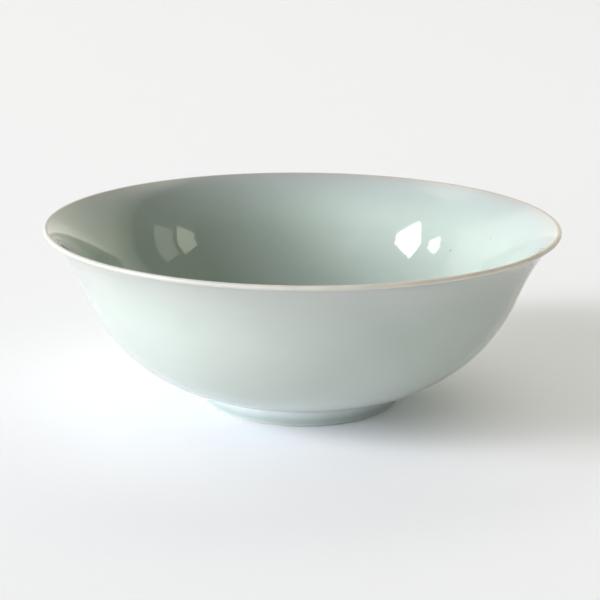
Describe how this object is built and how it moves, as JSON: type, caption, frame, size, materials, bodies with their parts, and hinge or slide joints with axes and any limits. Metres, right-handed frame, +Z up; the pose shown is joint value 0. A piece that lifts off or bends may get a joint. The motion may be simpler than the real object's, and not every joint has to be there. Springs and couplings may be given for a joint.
{
  "type": "latte bowl",
  "caption": "Wide round porcelain bowl with a full belly, a flared thin lip and a low foot ring, glazed celadon inside and out.",
  "frame": {"origin": "centre of the foot, on the surface that the bowl stands on", "axes": "+Z up along the axis of the bowl, X and Y across it; the bowl is round, so -Y is only the side that faces the picture's camera"},
  "size_m": [0.15, 0.15, 0.0537],
  "materials": {
    "porcelain": "fired porcelain, covered by the glaze",
    "bare_porcelain": "unglazed where the foot meets the table",
    "celadon_outside": "glossy pale grey blue-green celadon glaze",
    "celadon_inside": "glossy pale blue-green celadon glaze",
    "thin_lip_glaze": "thin cream glaze that lets the clay show"
  },
  "bodies": {
    "root": {"bowl_wall": "porcelain", "foot_ring": "bare_porcelain", "outside_glaze": "celadon_outside", "inside_glaze": "celadon_inside", "lip_glaze": "thin_lip_glaze", "foot_well_glaze": "celadon_outside"}
  },
  "joints": []
}
